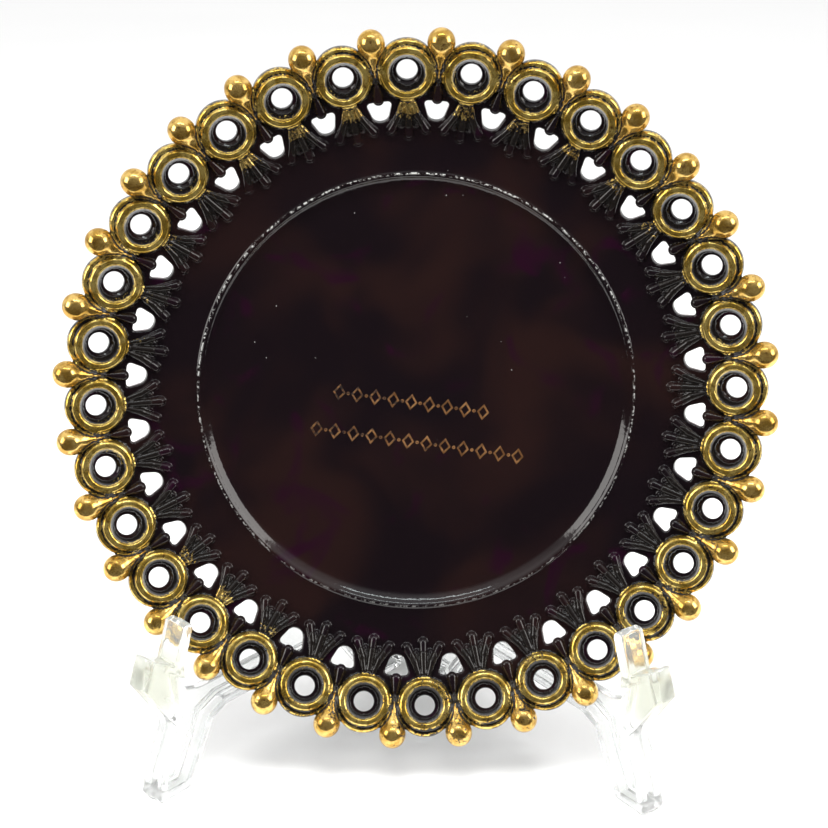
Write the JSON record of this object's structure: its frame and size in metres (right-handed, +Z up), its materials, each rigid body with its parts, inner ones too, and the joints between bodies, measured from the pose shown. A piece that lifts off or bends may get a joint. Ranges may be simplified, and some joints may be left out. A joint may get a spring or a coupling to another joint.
{
  "type": "display plate in easel",
  "caption": "Round dark glass plate with a pierced border of gilded rings and drops, standing in a folding clear plastic easel.",
  "frame": {"origin": "centre of the bounding box at floor level, under the plate", "axes": "+Z up, the face of the plate looks toward -Y and leans back, +X to the right of somebody facing the plate"},
  "size_m": [0.2028, 0.0908, 0.2096],
  "materials": {
    "dark_glass": "gloss",
    "ring_gold": "worn gloss",
    "drop_gold": "worn gloss",
    "petal_gold": "worn",
    "ornament_gold": "worn satin",
    "clear_plastic": "gloss",
    "pin_plastic": "gloss"
  },
  "bodies": {
    "easel_left": {"easel_left_frame": "clear_plastic", "hinge_pin": "pin_plastic"},
    "easel_right": {"easel_right_frame": "clear_plastic"},
    "plate": {"plate_glass": "dark_glass", "ring_gilding": "ring_gold", "drop_gilding": "drop_gold", "petal_gilding": "petal_gold", "ornament_upper": "ornament_gold", "ornament_lower": "ornament_gold"}
  },
  "joints": [
    {"name": "plate_lift", "type": "slide", "parent": "easel_left", "child": "plate", "axis": [0, 0.1736, 0.9848], "range_m": [0, 0.4]},
    {"name": "easel_fold", "type": "hinge", "parent": "easel_left", "child": "easel_right", "pos_m": [-0.001, 0.04137, 0.02], "axis": [0, 0, -1], "range_deg": [0, 75]}
  ],
  "couplings": [
    {"joint": "easel_fold", "follows": "plate_lift", "rad_per_m": 3.2724}
  ]
}
